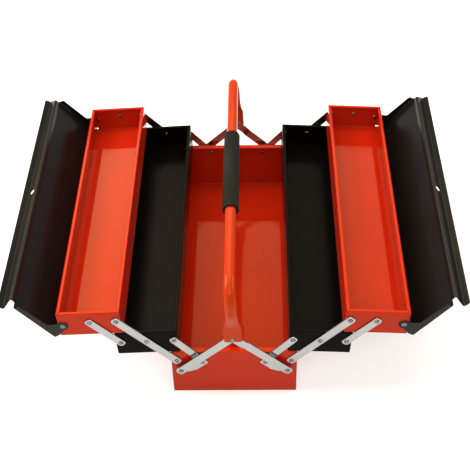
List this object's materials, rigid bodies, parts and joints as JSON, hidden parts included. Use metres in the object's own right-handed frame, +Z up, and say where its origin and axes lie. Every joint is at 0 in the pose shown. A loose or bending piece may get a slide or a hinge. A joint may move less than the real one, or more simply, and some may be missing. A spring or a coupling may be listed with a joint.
{
  "type": "cantilever tool box",
  "caption": "Open five-tray cantilever tool box of sheet steel, with linked trays, hinged lids and a gripped tube handle that folds the trays in when lifted.",
  "frame": {"origin": "centre of the base's underside, which is the bottom centre of the open box", "axes": "+X to the box's right, +Y along its length towards the rear end, +Z up"},
  "size_m": [0.7124, 0.562, 0.2624],
  "materials": {
    "orange_paint": "gloss",
    "black_paint": "gloss",
    "zinc": "satin",
    "grip_rubber": "matte"
  },
  "bodies": {
    "base": {"base_tray": "orange_paint", "base_link_rivets": "zinc", "base_crank_rivets": "zinc", "crank_spacers": "zinc"},
    "handle_rivets": {"handle_rivets": "zinc"},
    "handle": {"handle_tube": "orange_paint", "handle_grip": "grip_rubber"},
    "right_long_links": {"long_link_front_right": "zinc", "long_link_rear_right": "zinc"},
    "right_cranks": {"crank_front_right": "zinc", "crank_rear_right": "zinc", "crank_arm_rivets_right": "zinc"},
    "right_handle_arms": {"handle_arm_front_right": "zinc", "handle_arm_rear_right": "zinc"},
    "right_mid_tray": {"mid_tray_right": "black_paint", "mid_tray_rivets_right": "zinc"},
    "right_outer_links": {"outer_link_front_right": "zinc", "outer_link_rear_right": "zinc"},
    "right_top_tray": {"top_tray_right": "orange_paint", "top_tray_rivets_right": "zinc", "lid_hinge_rivets_right": "zinc"},
    "right_lid": {"lid_right": "black_paint"},
    "left_long_links": {"long_link_front_left": "zinc", "long_link_rear_left": "zinc"},
    "left_cranks": {"crank_front_left": "zinc", "crank_rear_left": "zinc", "crank_arm_rivets_left": "zinc"},
    "left_handle_arms": {"handle_arm_front_left": "zinc", "handle_arm_rear_left": "zinc"},
    "left_mid_tray": {"mid_tray_left": "black_paint", "mid_tray_rivets_left": "zinc"},
    "left_outer_links": {"outer_link_front_left": "zinc", "outer_link_rear_left": "zinc"},
    "left_top_tray": {"top_tray_left": "orange_paint", "top_tray_rivets_left": "zinc", "lid_hinge_rivets_left": "zinc"},
    "left_lid": {"lid_left": "black_paint"}
  },
  "joints": [
    {"name": "fold", "type": "hinge", "parent": "base", "child": "right_long_links", "pos_m": [0.091, 0, 0.079], "axis": [0, -1, 0], "range_deg": [0, 83.82]},
    {"name": "right_mid_tray_turn", "type": "hinge", "parent": "right_long_links", "child": "right_mid_tray", "pos_m": [0.13497, 0, 0.1255], "axis": [0, -1, 0], "range_deg": [-80.73, 0]},
    {"name": "right_top_tray_turn", "type": "hinge", "parent": "right_long_links", "child": "right_top_tray", "pos_m": [0.17895, 0, 0.172], "axis": [0, -1, 0], "range_deg": [-80.73, 0]},
    {"name": "right_outer_link_turn", "type": "hinge", "parent": "right_mid_tray", "child": "right_outer_links", "pos_m": [0.17551, 0, 0.1233], "axis": [0, -1, 0], "range_deg": [0, 80.73]},
    {"name": "right_crank_turn", "type": "hinge", "parent": "base", "child": "right_cranks", "pos_m": [0.04972, 0, 0.079], "axis": [0, -1, 0], "range_deg": [0, 82.52]},
    {"name": "right_arm_turn", "type": "hinge", "parent": "right_cranks", "child": "right_handle_arms", "pos_m": [0.0846, 0, 0.0611], "axis": [0, -1, 0], "range_deg": [-90.91, 0]},
    {"name": "right_lid_hinge", "type": "hinge", "parent": "right_top_tray", "child": "right_lid", "pos_m": [0.2615, 0, 0.16142], "axis": [0, -1, 0], "range_deg": [0, 119]},
    {"name": "left_fold", "type": "hinge", "parent": "base", "child": "left_long_links", "pos_m": [-0.091, 0, 0.079], "axis": [0, 1, 0], "range_deg": [0, 83.83]},
    {"name": "left_mid_tray_turn", "type": "hinge", "parent": "left_long_links", "child": "left_mid_tray", "pos_m": [-0.13497, 0, 0.1255], "axis": [0, 1, 0], "range_deg": [-80.73, 0]},
    {"name": "left_top_tray_turn", "type": "hinge", "parent": "left_long_links", "child": "left_top_tray", "pos_m": [-0.17895, 0, 0.172], "axis": [0, 1, 0], "range_deg": [-80.73, 0]},
    {"name": "left_outer_link_turn", "type": "hinge", "parent": "left_mid_tray", "child": "left_outer_links", "pos_m": [-0.17551, 0, 0.1233], "axis": [0, 1, 0], "range_deg": [0, 80.73]},
    {"name": "left_crank_turn", "type": "hinge", "parent": "base", "child": "left_cranks", "pos_m": [-0.04972, 0, 0.079], "axis": [0, 1, 0], "range_deg": [0, 82.52]},
    {"name": "left_arm_turn", "type": "hinge", "parent": "left_cranks", "child": "left_handle_arms", "pos_m": [-0.0846, 0, 0.0611], "axis": [0, 1, 0], "range_deg": [-90.91, 0]},
    {"name": "left_lid_hinge", "type": "hinge", "parent": "left_top_tray", "child": "left_lid", "pos_m": [-0.2615, 0, 0.16142], "axis": [0, 1, 0], "range_deg": [0, 119]},
    {"name": "handle_lift", "type": "slide", "parent": "base", "child": "handle_rivets", "axis": [0, 0, 1], "range_m": [0, 0.06166]},
    {"name": "handle_tilt", "type": "hinge", "parent": "handle_rivets", "child": "handle", "pos_m": [0, 0, 0.1411], "axis": [0, 1, 0], "range_deg": [-73, 77]}
  ],
  "couplings": [
    {"joint": "right_mid_tray_turn", "follows": "fold", "ratio": -0.96302},
    {"joint": "right_top_tray_turn", "follows": "fold", "ratio": -0.96302},
    {"joint": "right_outer_link_turn", "follows": "fold", "ratio": 0.96302},
    {"joint": "right_crank_turn", "follows": "fold", "ratio": 0.98427},
    {"joint": "right_arm_turn", "follows": "fold", "ratio": -1.0844},
    {"joint": "left_fold", "follows": "fold", "ratio": 1},
    {"joint": "left_mid_tray_turn", "follows": "fold", "ratio": -0.96302},
    {"joint": "left_top_tray_turn", "follows": "fold", "ratio": -0.96302},
    {"joint": "left_outer_link_turn", "follows": "fold", "ratio": 0.96302},
    {"joint": "left_crank_turn", "follows": "fold", "ratio": 0.98427},
    {"joint": "left_arm_turn", "follows": "fold", "ratio": -1.0844},
    {"joint": "handle_lift", "follows": "fold", "m_per_rad": 0.042137}
  ]
}
